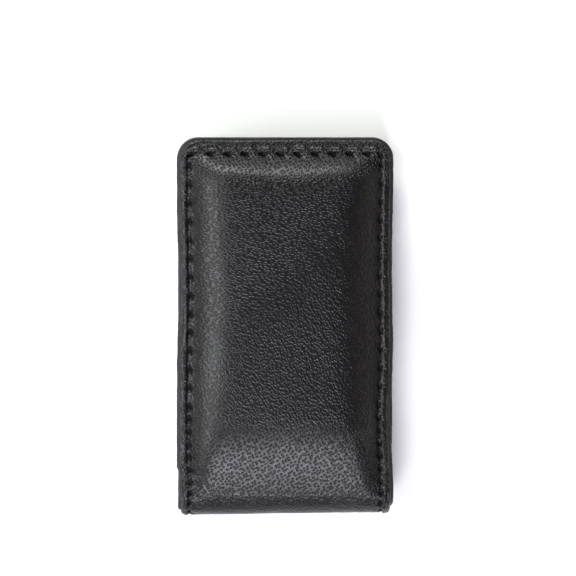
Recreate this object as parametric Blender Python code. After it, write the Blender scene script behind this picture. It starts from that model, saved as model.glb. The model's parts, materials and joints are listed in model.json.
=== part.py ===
"""A magnetic leather money clip, lying on its rear leaf, with room for folded notes between its leaves.

Two padded leather leaves are joined by a leather fold. Each leaf is a sandwich, from the notes outward: lining
leather, a stiffener board that holds two bar magnets, a foam pad, and the crowned outer leather. A seam round
three sides holds it together. The fold bends like a strip of hide, so it is cut into segments that hinge on
each other.

Frame: +X across the clip, +Y from the fold to the free end, +Z up through the front leaf. The origin is under
the middle of the clip, on the surface that it lies on. Lengths are in metres.
"""

import math

import bmesh
import bpy
from mathutils import Matrix, Vector

# Overall sizes
WIDTH = 0.0400  # across the lining, which is the widest layer
LENGTH = 0.0696  # closed, from the outside of the fold to the free edge
NOTE_GAP = 0.0048  # between the two linings, where the notes go
CORNER_RADIUS = 0.0040  # of the lining, at the free end

# Layers, each a thickness
LINING = 0.0007
OUTER = 0.0008
BOARD = 0.0016
FOAM = 0.0013  # over the middle of the board
GLUE = 0.0001  # left between layers that are glued

# The outer leather's crown over its pad
RIM = 0.0006  # the outer leather stops this far inside the lining's edge
MARGIN_SIDE = 0.0026  # flat sewn margin, from the lining's edge to the foot of the crown
MARGIN_FREE = 0.0035
MARGIN_FOLD = 0.0005  # from the start of the bend to the foot of the crown
SHOULDER = 0.0040  # the crown rises over this distance at the sides and the free end
FOLD_SLOPE = 0.0080  # and over this distance towards the fold
CROWN_STEPS = 6
PAD_CLEARANCE = 0.0005  # sideways, between the pad or the board and the leather over it
PAD_EDGE = 0.0002  # the pad's thickness at its foot
SMALLEST_RADIUS = 0.0012  # of a corner that an inset would otherwise close up
CORNER_STEPS = 5

# Magnets, in windows of the board
MAGNET_WIDTH = 0.0100
MAGNET_LENGTH = 0.0200
MAGNET_THICKNESS = 0.0015
MAGNET_BEVEL = 0.0003
WINDOW_CLEARANCE = 0.00015
WINDOW_SPACING = 0.0032  # the board left between the two windows
WINDOW_EDGE = 0.0030  # and between the windows and its free end

# The seam
SEAM_SIDE = 0.0022  # from the lining's edge to the stitches
SEAM_FREE = 0.0031
SEAM_RADIUS = 0.0009
SEAM_START = 0.0007  # from the start of the bend
STITCH = 0.0034
THREAD = 0.0004  # diameter
THREAD_SINK = 0.00008  # the middle of the thread lies this far under the leather's face
THREAD_WAVE = 0.00004  # and rises and dips by this much in each stitch
GROOVE_WIDTH = 0.0007
GROOVE_DEPTH = 0.00038
GROOVE_START = 0.0003
POINTS_PER_STITCH = 4

# The fold
FOLD_SEGMENTS = 2
SEGMENT_GAP = 0.0003  # between neighbouring pieces of the fold
SEGMENT_STEPS = 6

# What follows from those
SEWN = LINING + GLUE + OUTER  # thickness of the sewn margin and of the fold
BEND_INSIDE = NOTE_GAP / 2
BEND_OUTSIDE = BEND_INSIDE + SEWN
LEAF_LENGTH = LENGTH - BEND_OUTSIDE  # the flat part of a leaf
BOARD_BOTTOM = LINING + GLUE
BOARD_TOP = BOARD_BOTTOM + BOARD
PAD_BOTTOM = BOARD_TOP + GLUE
LEAF_THICKNESS = PAD_BOTTOM + FOAM + GLUE + OUTER
CROWN_RISE = LEAF_THICKNESS - SEWN
BEND_Y = BEND_OUTSIDE - LENGTH / 2
MIDDLE_Z = LEAF_THICKNESS + BEND_INSIDE
JOINTS = FOLD_SEGMENTS + 1
BEND_PER_JOINT = math.pi / JOINTS
HALF_GAP = SEGMENT_GAP / 2 / BEND_OUTSIDE  # as an angle round the fold
STUB_ANGLE = BEND_PER_JOINT / 2 - HALF_GAP  # how far a leaf's leathers go on round the fold
# The outside of the fold keeps its length when the clip is laid out flat if each joint lies here.
PIVOT_RADIUS = BEND_OUTSIDE * (BEND_PER_JOINT / 2) / math.sin(BEND_PER_JOINT / 2)


def clear_scene():
    for old in list(bpy.data.objects):
        bpy.data.objects.remove(old, do_unlink=True)


def material(name, colour, roughness, metallic=0.0):
    made = bpy.data.materials.new(name)
    made.use_nodes = True
    shader = made.node_tree.nodes["Principled BSDF"]
    shader.inputs["Base Color"].default_value = (*colour, 1.0)
    shader.inputs["Roughness"].default_value = roughness
    shader.inputs["Metallic"].default_value = metallic
    return made


def new_object(name, bm, finish):
    """An object for a finished bmesh, with its faces pointing out and its round parts shaded smooth."""
    bmesh.ops.recalc_face_normals(bm, faces=bm.faces)
    mesh = bpy.data.meshes.new(name)
    bm.to_mesh(mesh)
    bm.free()
    mesh.materials.append(finish)
    mesh.shade_smooth()
    mesh.set_sharp_from_angle(angle=math.radians(35))
    made = bpy.data.objects.new(name, mesh)
    bpy.context.scene.collection.objects.link(made)
    return made


def helper(made):
    """Marks a cutter, which isn't part of the clip."""
    made.hide_render = True
    made.display_type = "WIRE"
    return made


def cut(target, cutter):
    modifier = target.modifiers.new(cutter.name, "BOOLEAN")
    modifier.operation = "DIFFERENCE"
    modifier.object = cutter


# ---- shapes in a leaf's own frame ----
# x runs across, y from the start of the bend to the free end, z outward from the face that touches the notes.


def outline(side, fold, free, radius):
    """Points round a leaf from the fold's left end, over the free end, to the fold's right end.

    side and free are insets from the lining's edges, and fold is a distance from the start of the bend."""
    half = WIDTH / 2 - side
    top = LEAF_LENGTH - free
    corner = max(radius, SMALLEST_RADIUS)
    points = [Vector((-half, fold, 0))]
    for sign, first in ((-1, math.pi), (1, math.pi / 2)):
        centre = Vector((sign * (half - corner), top - corner, 0))
        for step in range(CORNER_STEPS + 1):
            angle = first - step / CORNER_STEPS * math.pi / 2
            points.append(centre + corner * Vector((math.cos(angle), math.sin(angle), 0)))
    points.append(Vector((half, fold, 0)))
    return points


def ring(bm, points, height):
    return [bm.verts.new((p.x, p.y, height)) for p in points]


def join_rings(bm, first, second, closed=True):
    count = len(first)
    for i in range(count if closed else count - 1):
        j = (i + 1) % count
        bm.faces.new((first[i], first[j], second[j], second[i]))


def crown_ring(share, clearance=0.0):
    """The outline at a share of the way up the crown, drawn in by a clearance."""
    side = MARGIN_SIDE + SHOULDER * share + clearance
    free = MARGIN_FREE + SHOULDER * share + clearance
    fold = MARGIN_FOLD + FOLD_SLOPE * share + clearance
    return outline(side, fold, free, CORNER_RADIUS - side)


def crown_height(share):
    """Height of the outer leather's face, an S-shaped rise from the margin to the flat top."""
    return SEWN + CROWN_RISE * share * share * (3 - 2 * share)


def share_at(height):
    """The share at which the crown reaches a height."""
    rise = (height - SEWN) / CROWN_RISE
    return 0.5 - math.sin(math.asin(1 - 2 * rise) / 3)


def bend(bm, parts, angle, steps):
    """Carries the leaf's end on round the fold."""
    bmesh.ops.spin(
        bm,
        geom=parts,
        cent=(0, 0, -BEND_INSIDE),
        axis=(1, 0, 0),
        angle=angle,
        steps=steps,
        use_merge=False,
    )


def outer_leather(name, finish):
    bm = bmesh.new()
    rim = ring(bm, outline(RIM, 0, RIM, CORNER_RADIUS - RIM), SEWN)
    bend_edge = bm.edges.new((rim[0], rim[-1]))
    below = rim
    for step in range(CROWN_STEPS + 1):
        share = step / CROWN_STEPS
        above = ring(bm, crown_ring(share), crown_height(share))
        join_rings(bm, below, above)
        below = above
    bm.faces.new(below)
    bmesh.ops.recalc_face_normals(bm, faces=bm.faces)
    bend(bm, [bend_edge], STUB_ANGLE, SEGMENT_STEPS // 2)
    # The sheet is open, so its faces are turned outward by looking at the flat top.
    bmesh.ops.recalc_face_normals(bm, faces=bm.faces)
    top = max(bm.faces, key=lambda face: face.calc_center_median().z)
    if top.normal.z < 0:
        bmesh.ops.reverse_faces(bm, faces=bm.faces)
    mesh = bpy.data.meshes.new(name)
    bm.to_mesh(mesh)
    bm.free()
    mesh.materials.append(finish)
    made = bpy.data.objects.new(name, mesh)
    bpy.context.scene.collection.objects.link(made)
    wall = made.modifiers.new("leather", "SOLIDIFY")
    wall.thickness = OUTER
    wall.offset = -1
    wall.use_even_offset = True
    return made


def lining_leather(name, finish):
    bm = bmesh.new()
    low = ring(bm, outline(0, 0, 0, CORNER_RADIUS), 0)
    high = ring(bm, outline(0, 0, 0, CORNER_RADIUS), LINING)
    join_rings(bm, low, high)
    bm.faces.new(low)
    bm.faces.new(high)
    end = min(bm.faces, key=lambda face: face.calc_center_median().y)
    bend(bm, [end, *end.verts, *end.edges], STUB_ANGLE, SEGMENT_STEPS // 2)
    bmesh.ops.delete(bm, geom=[f for f in bm.faces if f == end], context="FACES_ONLY")
    return new_object(name, bm, finish)


def foam_pad(name, finish):
    bm = bmesh.new()
    foot = share_at(PAD_BOTTOM + PAD_EDGE + GLUE + OUTER)
    points = crown_ring(foot, PAD_CLEARANCE)
    below = ring(bm, points, PAD_BOTTOM)
    bm.faces.new(below)
    for step in range(CROWN_STEPS // 2 + 1):
        share = foot + (1 - foot) * step / (CROWN_STEPS // 2)
        height = crown_height(share) - OUTER - GLUE
        above = ring(bm, crown_ring(share, PAD_CLEARANCE), height)
        join_rings(bm, below, above)
        below = above
    bm.faces.new(below)
    return new_object(name, bm, finish)


def board_outline():
    return crown_ring(share_at(PAD_BOTTOM + GLUE + OUTER), PAD_CLEARANCE)


def magnet_place(side):
    """Middle of a magnet: side is -1 or 1."""
    free_end = max(point.y for point in board_outline())
    x = side * (WINDOW_SPACING / 2 + WINDOW_CLEARANCE + MAGNET_WIDTH / 2)
    y = free_end - WINDOW_EDGE - WINDOW_CLEARANCE - MAGNET_LENGTH / 2
    return Vector((x, y, BOARD_BOTTOM + BOARD / 2))


def box(name, size, centre, finish=None, bevel=0.0):
    bm = bmesh.new()
    bmesh.ops.create_cube(bm, size=1.0)
    bmesh.ops.scale(bm, vec=size, verts=bm.verts)
    bmesh.ops.translate(bm, vec=centre, verts=bm.verts)
    if bevel:
        bmesh.ops.bevel(
            bm, geom=bm.edges[:], offset=bevel, affect="EDGES", segments=1, profile=0.5, material=-1
        )
    return new_object(name, bm, finish)


def stiffener_board(name, finish):
    bm = bmesh.new()
    low = ring(bm, board_outline(), BOARD_BOTTOM)
    high = ring(bm, board_outline(), BOARD_TOP)
    join_rings(bm, low, high)
    bm.faces.new(low)
    bm.faces.new(high)
    made = new_object(name, bm, finish)
    for side in (-1, 1):
        size = (
            MAGNET_WIDTH + 2 * WINDOW_CLEARANCE,
            MAGNET_LENGTH + 2 * WINDOW_CLEARANCE,
            3 * BOARD,
        )
        cut(made, helper(box(f"{name}_window_{side}", size, magnet_place(side), finish)))
    return made


def magnet(name, side, finish):
    size = (MAGNET_WIDTH, MAGNET_LENGTH, MAGNET_THICKNESS)
    return box(name, size, magnet_place(side), finish, MAGNET_BEVEL)


def groove(name, face, finish):
    """The channel that the seam's stitches lie in, cut into an outer face (1) or an inner one (-1)."""
    spread = GROOVE_WIDTH / 2
    middle = SEWN if face > 0 else 0.0
    low, high = sorted((middle - face * GROOVE_DEPTH, middle + face * GROOVE_DEPTH))
    bm = bmesh.new()
    chains = []
    for offset in (-spread, spread):
        points = outline(
            SEAM_SIDE + offset, GROOVE_START, SEAM_FREE + offset, SEAM_RADIUS - offset
        )
        chains.append((ring(bm, points, low), ring(bm, points, high)))
    (outer_low, outer_high), (inner_low, inner_high) = chains
    join_rings(bm, outer_low, inner_low, closed=False)
    join_rings(bm, outer_high, inner_high, closed=False)
    join_rings(bm, outer_low, outer_high, closed=False)
    join_rings(bm, inner_low, inner_high, closed=False)
    for end in (0, -1):
        bm.faces.new((outer_low[end], inner_low[end], inner_high[end], outer_high[end]))
    return helper(new_object(name, bm, finish))


def seam_path():
    """A function from a distance along the seam to its place, and the seam's length."""
    points = outline(SEAM_SIDE, SEAM_START, SEAM_FREE, SEAM_RADIUS)
    runs = [(b - a).length for a, b in zip(points, points[1:])]

    def place(distance):
        for start, end, run in zip(points, points[1:], runs):
            if distance <= run:
                return start.lerp(end, distance / run)
            distance -= run
        return points[-1]

    return place, sum(runs)


def thread(name, face, finish):
    """The thread on a leaf's outer face (1) or inner face (-1), one wave to a stitch."""
    place, length = seam_path()
    stitches = round(length / STITCH)
    count = stitches * POINTS_PER_STITCH + 1
    middle = SEWN - THREAD_SINK if face > 0 else THREAD_SINK
    curve = bpy.data.curves.new(name, "CURVE")
    curve.dimensions = "3D"
    curve.bevel_depth = THREAD / 2
    curve.bevel_resolution = 0
    curve.use_fill_caps = True
    line = curve.splines.new("POLY")
    line.points.add(count - 1)
    for i, point in enumerate(line.points):
        at = place(length * i / (count - 1))
        wave = -math.cos(2 * math.pi * i / POINTS_PER_STITCH) * THREAD_WAVE
        point.co = (at.x, at.y, middle + face * wave, 1)
    curve.materials.append(finish)
    made = bpy.data.objects.new(name, curve)
    bpy.context.scene.collection.objects.link(made)
    return made


def fold_slab(name, inside, thickness, width, finish):
    """One segment of the fold, an arc about the X axis that starts straight down from it."""
    bm = bmesh.new()
    half = width / 2
    corners = [
        bm.verts.new((x, 0, -radius))
        for x, radius in (
            (-half, inside),
            (half, inside),
            (half, inside + thickness),
            (-half, inside + thickness),
        )
    ]
    start = bm.faces.new(corners)
    angle = BEND_PER_JOINT - 2 * HALF_GAP
    bmesh.ops.rotate(
        bm,
        verts=bm.verts,
        cent=(0, 0, 0),
        matrix=Matrix.Rotation(-HALF_GAP, 3, "X"),
    )
    keep = start.copy()
    bmesh.ops.spin(
        bm,
        geom=[start, *start.verts, *start.edges],
        cent=(0, 0, 0),
        axis=(1, 0, 0),
        angle=-angle,
        steps=SEGMENT_STEPS,
        use_merge=False,
    )
    if not keep.is_valid:
        bm.faces.new(corners)
    bmesh.ops.remove_doubles(bm, verts=bm.verts, dist=1e-7)
    return new_object(name, bm, finish)


# ---- assembly ----


def bend_point(angle, radius):
    """A point round the fold: angle 0 is at the rear leaf and pi at the front leaf."""
    return Vector((0, BEND_Y - radius * math.sin(angle), MIDDLE_Z - radius * math.cos(angle)))


def body(name, joint_point):
    empty = bpy.data.objects.new(name, None)
    empty.empty_display_size = LENGTH / 10
    empty.location = joint_point
    bpy.context.scene.collection.objects.link(empty)
    return empty


def put(made, parent, place):
    """Hangs an object on a body's empty, with its own frame placed in the clip's."""
    made.parent = parent
    made.matrix_local = Matrix.Translation(-parent.location) @ place


def build_leaf(which, parent, place, finishes):
    outer = outer_leather(f"{which}_outer_leather", finishes["outer"])
    lining = lining_leather(f"{which}_lining_leather", finishes["lining"])
    outer_groove = groove(f"{which}_outer_groove", 1, finishes["outer"])
    inner_groove = groove(f"{which}_inner_groove", -1, finishes["lining"])
    cut(outer, outer_groove)
    cut(lining, inner_groove)
    board = stiffener_board(f"{which}_stiffener_board", finishes["board"])
    windows = [modifier.object for modifier in board.modifiers]
    made = [
        outer,
        lining,
        outer_groove,
        inner_groove,
        board,
        *windows,
        foam_pad(f"{which}_foam_pad", finishes["foam"]),
        magnet(f"{which}_magnet_left", -1, finishes["magnet"]),
        magnet(f"{which}_magnet_right", 1, finishes["magnet"]),
        thread(f"{which}_seam_thread", 1, finishes["thread"]),
        thread(f"{which}_bobbin_thread", -1, finishes["thread"]),
    ]
    for piece in made:
        put(piece, parent, place)


def build():
    clear_scene()
    finishes = {
        "outer": material("outer_leather", (0.030, 0.029, 0.031), 0.42),
        "lining": material("lining_leather", (0.027, 0.026, 0.027), 0.55),
        "thread": material("sewing_thread", (0.010, 0.010, 0.011), 0.60),
        "foam": material("foam", (0.45, 0.45, 0.44), 0.95),
        "board": material("fibre_board", (0.30, 0.27, 0.23), 0.90),
        "magnet": material("nickel_plate", (0.72, 0.71, 0.69), 0.25, 1.0),
    }
    axis = Matrix.Translation((0, BEND_Y, MIDDLE_Z))

    # The rear leaf lies face down: a half turn about Y brings its outer face below.
    rear = body("rear_leaf", Vector((0, 0, 0)))
    build_leaf(
        "rear",
        rear,
        axis @ Matrix.Translation((0, 0, -BEND_INSIDE)) @ Matrix.Rotation(math.pi, 4, "Y"),
        finishes,
    )
    for number in range(1, FOLD_SEGMENTS + 1):
        start = (number - 0.5) * BEND_PER_JOINT
        segment = body(f"fold_{number}", bend_point(start, PIVOT_RADIUS))
        place = axis @ Matrix.Rotation(-start, 4, "X")
        outer = fold_slab(
            f"fold_outer_leather_{number}",
            BEND_INSIDE + LINING + GLUE,
            OUTER,
            WIDTH - 2 * RIM,
            finishes["outer"],
        )
        lining = fold_slab(
            f"fold_lining_leather_{number}", BEND_INSIDE, LINING, WIDTH, finishes["lining"]
        )
        put(outer, segment, place)
        put(lining, segment, place)
    front = body("front_leaf", bend_point((JOINTS - 0.5) * BEND_PER_JOINT, PIVOT_RADIUS))
    build_leaf("front", front, axis @ Matrix.Translation((0, 0, BEND_INSIDE)), finishes)


build()
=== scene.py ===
# %% [markdown]
# # A padded leather money clip
#
# The clip is two padded leather leaves joined by a leather fold. Each leaf is a sandwich: a lining that
# touches the notes, a fibre board with two magnets in it, a thin pad, and an outer leather that is pulled
# over the pad and sewn down all round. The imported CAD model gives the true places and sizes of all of
# these. This lesson keeps its board, magnets and pad, and makes the leathers and the thread again as they
# really look.

import json
import math

import bmesh
import bpy
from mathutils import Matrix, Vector, noise
from mathutils.kdtree import KDTree


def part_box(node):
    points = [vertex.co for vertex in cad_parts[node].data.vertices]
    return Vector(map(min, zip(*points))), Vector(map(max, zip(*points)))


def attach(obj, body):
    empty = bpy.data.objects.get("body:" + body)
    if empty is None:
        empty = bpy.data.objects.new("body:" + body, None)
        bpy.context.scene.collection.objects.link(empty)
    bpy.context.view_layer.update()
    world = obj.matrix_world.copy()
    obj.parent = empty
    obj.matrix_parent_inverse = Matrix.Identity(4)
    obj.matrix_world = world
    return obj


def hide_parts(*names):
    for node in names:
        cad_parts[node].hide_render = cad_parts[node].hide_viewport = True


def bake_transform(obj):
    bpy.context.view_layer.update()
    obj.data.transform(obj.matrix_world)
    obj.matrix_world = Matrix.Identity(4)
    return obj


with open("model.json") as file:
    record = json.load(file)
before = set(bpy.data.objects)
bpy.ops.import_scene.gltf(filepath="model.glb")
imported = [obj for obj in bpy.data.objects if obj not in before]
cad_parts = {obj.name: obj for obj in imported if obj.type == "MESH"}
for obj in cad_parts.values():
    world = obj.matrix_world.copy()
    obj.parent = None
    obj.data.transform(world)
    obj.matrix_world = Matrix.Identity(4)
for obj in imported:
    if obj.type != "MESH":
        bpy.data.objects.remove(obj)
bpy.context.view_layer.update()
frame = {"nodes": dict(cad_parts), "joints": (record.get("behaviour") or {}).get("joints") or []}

# %% [markdown]
# ## Sizes, read from the frame
#
# A hide has no height of its own, so it is easiest to think of it laid flat. Every leather below is drawn
# on a flat map in millimetres: x runs across the clip and s runs along it, 0 where the front leaf meets the
# fold, upwards to the free end, and downwards round the fold and on to the rear leaf. A third number, out,
# says how far a place stands outside the sewn margin's face. The three hinges of the fold give its middle
# and its radius.

# %% Sizes
MM = 0.001
HINGES = [Vector(joint["pos_m"]) / MM for joint in frame["joints"]]
BEND = math.pi / len(HINGES)  # the fold turns by this much at each hinge
PIVOT_RADIUS = (HINGES[2].z - HINGES[0].z) / 2 / math.cos(BEND / 2)
OUTSIDE = PIVOT_RADIUS * math.sin(BEND / 2) / (BEND / 2)  # radius of the fold's outer face
BEND_Y = HINGES[1].y + PIVOT_RADIUS
MIDDLE_Z = HINGES[1].z
FOLD_LENGTH = math.pi * OUTSIDE

lining_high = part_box("front_lining_leather")[1]
cover_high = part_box("front_outer_leather")[1]
LINING_FACE = MIDDLE_Z + OUTSIDE - lining_high.z / MM  # how far it lies below the margin's face
LINING_THICKNESS = 0.7
COVER_THICKNESS = 0.8
LINING_BOTTOM = LINING_FACE + LINING_THICKNESS
RISE = cover_high.z / MM - MIDDLE_Z - OUTSIDE  # of the padded middle above the margin

# Half the width, the distance from the fold to the free end, and the radius of the corners.
LINING = (lining_high.x / MM, lining_high.y / MM - BEND_Y, 4.0)
COVER = (cover_high.x / MM, cover_high.y / MM - BEND_Y, 3.4)
SEAM = (COVER[0] - 1.6, COVER[1] - 2.5, 0.9)
print(f"fold radius {OUTSIDE:.2f} mm round y {BEND_Y:.2f}, z {MIDDLE_Z:.2f}; crown {RISE:.2f} mm")
print("outlines:", [[round(size, 2) for size in each] for each in (LINING, COVER, SEAM)])

# %% [markdown]
# ## From the flat hide to the clip
#
# One function folds the flat map round the clip, and everything goes through it, so pieces that meet on the
# map meet on the clip. It also carries the small untruths of handmade leather: edges that are drawn in by a
# third of a millimetre here and there, and by twice that near the fold on the right, and a fold that sags
# to one side. A plain cylinder would be easier but it would look moulded.


# %% Folding the map
LAP = 4.9  # the margin on the left is lapped up to here from the fold


def smooth(low, high, value):
    """0 below low, 1 above high and smooth between. It falls instead where high is below low."""
    share = min(max((value - low) / (high - low), 0.0), 1.0)
    return share * share * (3 - 2 * share)


def bump(middle, spread, value):
    """1 in the middle, dying away on both sides."""
    return math.exp(-(((value - middle) / spread) ** 2))


def waver(x, y, layer):
    """Smooth noise on both sides of 0. Each layer is a pattern of its own."""
    return noise.noise(Vector((x, y, layer)))


def from_bend(s):
    """How far a place is from the nearer end of the fold: above 0 on a leaf, below 0 on the fold."""
    return s if s > -FOLD_LENGTH / 2 else -FOLD_LENGTH - s


def on_front(s):
    """1 on the front leaf, 0 on the rear one."""
    return smooth(-FOLD_LENGTH * 0.75, -FOLD_LENGTH * 0.25, s)


def sway(x, s):
    """How far the hide is shifted sideways, mostly at its edges."""
    t = from_bend(s)
    front = on_front(s)
    # Each bump draws a side in at its distance from the fold. The left one is also narrower up to the lap.
    if x < 0:
        inwards = 0.34 * bump(38, 11, t) + 0.30 * (1 - smooth(LAP - 0.7, LAP, t))
    else:
        inwards = 0.30 * bump(41, 11, t) + 0.62 * bump(14, 8, t)
    wander = 0.09 * waver(x * 0.02, s * 0.45, 2.0)
    wander += 0.05 * waver(x, s * 1.3, 5.0)
    other = 0.25 * waver(x * 0.1, s * 0.08, 8.0)
    inwards = inwards * front + other * (1 - front) + wander
    return -math.copysign(inwards * (x / LINING[0]) ** 2, x)


def sag(x, s):
    """How far the fold is out of true: out on the left, in on the right, and in again at both ends."""
    turn = min(max(-s / OUTSIDE, 0), math.pi)
    middle = math.sin(turn)
    tilt = -0.0135 * x * middle * middle
    right_end = -0.62 * max(0, (x - 18.6) / 1.4) ** 2 * middle
    left_end = -0.10 * max(0, (-x - 19.0) / 1.0) ** 2 * middle
    return tilt + right_end + left_end


def place(x, s, out):
    """Where a place on the flat map lies on the clip, in metres."""
    radius = OUTSIDE + out + sag(x, s)
    x += sway(x, s)
    if s >= 0:
        return Vector((x, BEND_Y + s, MIDDLE_Z + radius)) * MM
    if s <= -FOLD_LENGTH:
        return Vector((x, BEND_Y - FOLD_LENGTH - s, MIDDLE_Z - radius)) * MM
    turn = -s / OUTSIDE
    return Vector((x, BEND_Y - radius * math.sin(turn), MIDDLE_Z + radius * math.cos(turn))) * MM


def inside(x, t, half_width, length, radius):
    """How far a place is inside a leaf's outline, which stays open towards the fold."""
    across = abs(x) - (half_width - radius)
    along = t - (length - radius)
    beyond = math.hypot(max(across, 0), max(along, 0))
    return radius - beyond - min(max(across, along), 0)


print("free end:", place(0, COVER[1], 0), "middle of the fold:", place(0, -FOLD_LENGTH / 2, 0))

# %% [markdown]
# ## Where the needle went
#
# A lockstitch leaves a row of holes about 3.4 mm apart. The seam starts at the fold, goes up one side, over
# the free end and down the other side. Near the fold it is sewn back over itself, so the holes come closer
# there, and it carries on round the fold at two stitches to each hinge. The holes come first because the
# leather takes its puckers from them and the thread runs through them.

# %% Needle holes
STITCH = 3.4
SHORT_STITCH = 2.35
BACKSTITCHED = 17.0  # the stitches are short up to here from the fold
LAST_GAP = 2.2  # from the last hole on a side to the corner of the seam
SHORTEST_GAP = 1.2
CORNER_INSET = 0.25
TOP_STITCH = 3.22
TOP_FIRST = -13.98
TOP_HOLES = 10
FOLD_STITCHES = 2 * len(HINGES)
FOLD_STITCH = FOLD_LENGTH / FOLD_STITCHES


def side_holes(side):
    """Holes up one side of a leaf, from the fold to the corner, as distances from the fold."""
    t = SEAM[1] - LAST_GAP
    found = []
    while t > SHORTEST_GAP:
        found.append((side * SEAM[0], t))
        t -= STITCH if t > BACKSTITCHED else SHORT_STITCH
    found.append((side * SEAM[0], 0.0))
    return found[::-1]


def leaf_holes():
    """All the holes of one leaf, from the fold up the left side and back to the fold on the right."""
    top = [(TOP_FIRST + TOP_STITCH * i, SEAM[1]) for i in range(TOP_HOLES)]
    corner = SEAM[0] - CORNER_INSET, SEAM[1] - CORNER_INSET
    left = side_holes(-1) + [(-corner[0], corner[1])]
    right = [corner] + side_holes(1)[::-1]
    return left + top + right


def fold_holes(side, first, last):
    """Holes round the fold on one side, counted in stitches from the front leaf."""
    return [(side * SEAM[0], -FOLD_STITCH * i) for i in range(first, last + 1)]


front_holes = leaf_holes()
rear_holes = [(x, -FOLD_LENGTH - t) for x, t in front_holes]
fold_sides = [fold_holes(side, 0, FOLD_STITCHES) for side in (-1, 1)]
HOLE_RUNS = [front_holes, rear_holes] + fold_sides
HOLE_COUNT = sum(len(run) for run in HOLE_RUNS)
HOLE_TREE = KDTree(HOLE_COUNT)
HOLE_WAYS = []
HALF_GAPS = []  # half the way to the nearer neighbour
for run in HOLE_RUNS:
    for i, (x, s) in enumerate(run):
        before = run[max(i - 1, 0)]
        after = run[min(i + 1, len(run) - 1)]
        HOLE_TREE.insert((x, s, 0), len(HOLE_WAYS))
        HOLE_WAYS.append(Vector((after[0] - before[0], after[1] - before[1])).normalized())
        gaps = [math.dist((x, s), other) for other in (before, after) if other != (x, s)]
        HALF_GAPS.append(min(gaps) / 2)
HOLE_TREE.balance()


def from_hole(x, s):
    """How far a place is from the nearest hole, along the seam and across it, and that hole's half gap."""
    spot, index = HOLE_TREE.find((x, s, 0))[:2]
    way = HOLE_WAYS[index]
    offset = Vector((x - spot.x, s - spot.y))
    return offset.dot(way), offset.x * way.y - offset.y * way.x, HALF_GAPS[index]


print("needle holes:", HOLE_COUNT, "on a leaf:", len(front_holes))

# %% [markdown]
# ## The hide's surface
#
# The outer leather's shape has layers, from large to small. The crown is the padded middle, which rises
# steeply from the seam, eases off inwards and runs out long and low over the fold. On top of it come what
# the seam does: a groove, a pit at each hole, and the swelling between stitches. Then come creases, gathers
# by the fold, and last the pebbled grain. Each is a small function of the flat map, so they pass over the
# joins between pieces without a break. A sculpted mesh would do as well by hand, but it couldn't be changed
# afterwards.

# %% Crown, grain and creases
CROWN_FOOT = 0.4  # inside the seam
SIDE_SHOULDER = 8.6  # how wide the shoulders are
SIDE_SHOULDER_AT_FOLD = 5.4
END_SHOULDER = 7.0
SHOULDER_GROWTH = (2, 24)  # the side shoulders widen over this stretch from the fold
SHOULDER_CURVE = 3  # the shoulders are steep at the seam and ease off inwards
FOLD_RUN = 15.0  # the crown rises over this stretch from the fold
FOLD_TAIL = 3.1  # and starts this far round it
FOLD_SHARE = 0.20  # with this share of its rise where the fold begins
FOLD_CURVE = 2.4
DOME = 0.65  # the front's middle stands this much higher, where nothing presses it flat
DOME_MIDDLE = 34.0  # from the fold
PIT_COLUMN = 0.70  # spacing of the pits on the slope
PIT_ROW = 0.60


def fold_rise(t):
    """The crown's share at a distance from the fold: one long arc that runs on into the fold."""
    if t > 0:
        return 1 - (1 - FOLD_SHARE) * max(1 - t / FOLD_RUN, 0) ** FOLD_CURVE
    return FOLD_SHARE * max(1 + t / FOLD_TAIL, 0) ** 2


def crown(x, s):
    """How far the padded middle stands above the margin's face."""
    t = from_bend(s)
    widened = smooth(*SHOULDER_GROWTH, t)
    side_shoulder = SIDE_SHOULDER_AT_FOLD + (SIDE_SHOULDER - SIDE_SHOULDER_AT_FOLD) * widened
    across = min(max(1 - (SEAM[0] - CROWN_FOOT - abs(x)) / side_shoulder, 0), 1)
    along = min(max(1 - (SEAM[1] - CROWN_FOOT - t) / END_SHOULDER, 0), 1)
    pillow = (1 - across**SHOULDER_CURVE) * (1 - along**SHOULDER_CURVE) * fold_rise(t)
    round_across = max(1 - (x / SEAM[0]) ** 2, 0)
    round_along = max(1 - ((t - DOME_MIDDLE) / DOME_MIDDLE) ** 2, 0)
    dome = DOME * on_front(s) * round_across * round_along
    return (RISE + dome) * pillow


def slanted_map(x, s):
    """The map turned so that its second axis runs down to the right."""
    return x * 0.5 - s * 0.87, x * 0.87 + s * 0.5


def pebbles(x, s):
    """Little pits between rounded bumps, drawn out one way on each part of the hide. From 0 to 1."""
    slant = slanted_map(x, s)
    round_cell = noise.voronoi(Vector((slant[0] / 0.68, slant[1] / 0.54, 3.0)))[0][0]
    level_cell = noise.voronoi(Vector(((x + s * 0.3) / 0.90, (s - x * 0.25) / 0.50, 9.0)))[0][0]
    top_left = smooth(-8, 8, s - 38 - x)
    cell = round_cell * (1 - top_left) + level_cell * top_left
    return smooth(0.08, 0.60, cell)


def slope_pits(x, s):
    """Rounder and clearer pits, in slanting rows, where the hide is stretched over the slope by the fold."""
    slant = slanted_map(x, s)
    row = math.floor(slant[1] / PIT_ROW)
    nearest = 9.0
    for j in (row - 1, row, row + 1):
        shift = 0.35 * (j % 2)
        column = math.floor((slant[0] - shift) / PIT_COLUMN)
        for i in (column - 1, column, column + 1):
            jitter = noise.cell_vector(Vector((i + 0.5, j + 0.5, 0.5)))
            across = slant[0] - shift - (i + 0.3 + 0.4 * jitter.x) * PIT_COLUMN
            along = slant[1] - (j + 0.3 + 0.4 * jitter.y) * PIT_ROW
            nearest = min(nearest, math.hypot(across, along))
    return smooth(0.06, 0.30, nearest)


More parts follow.
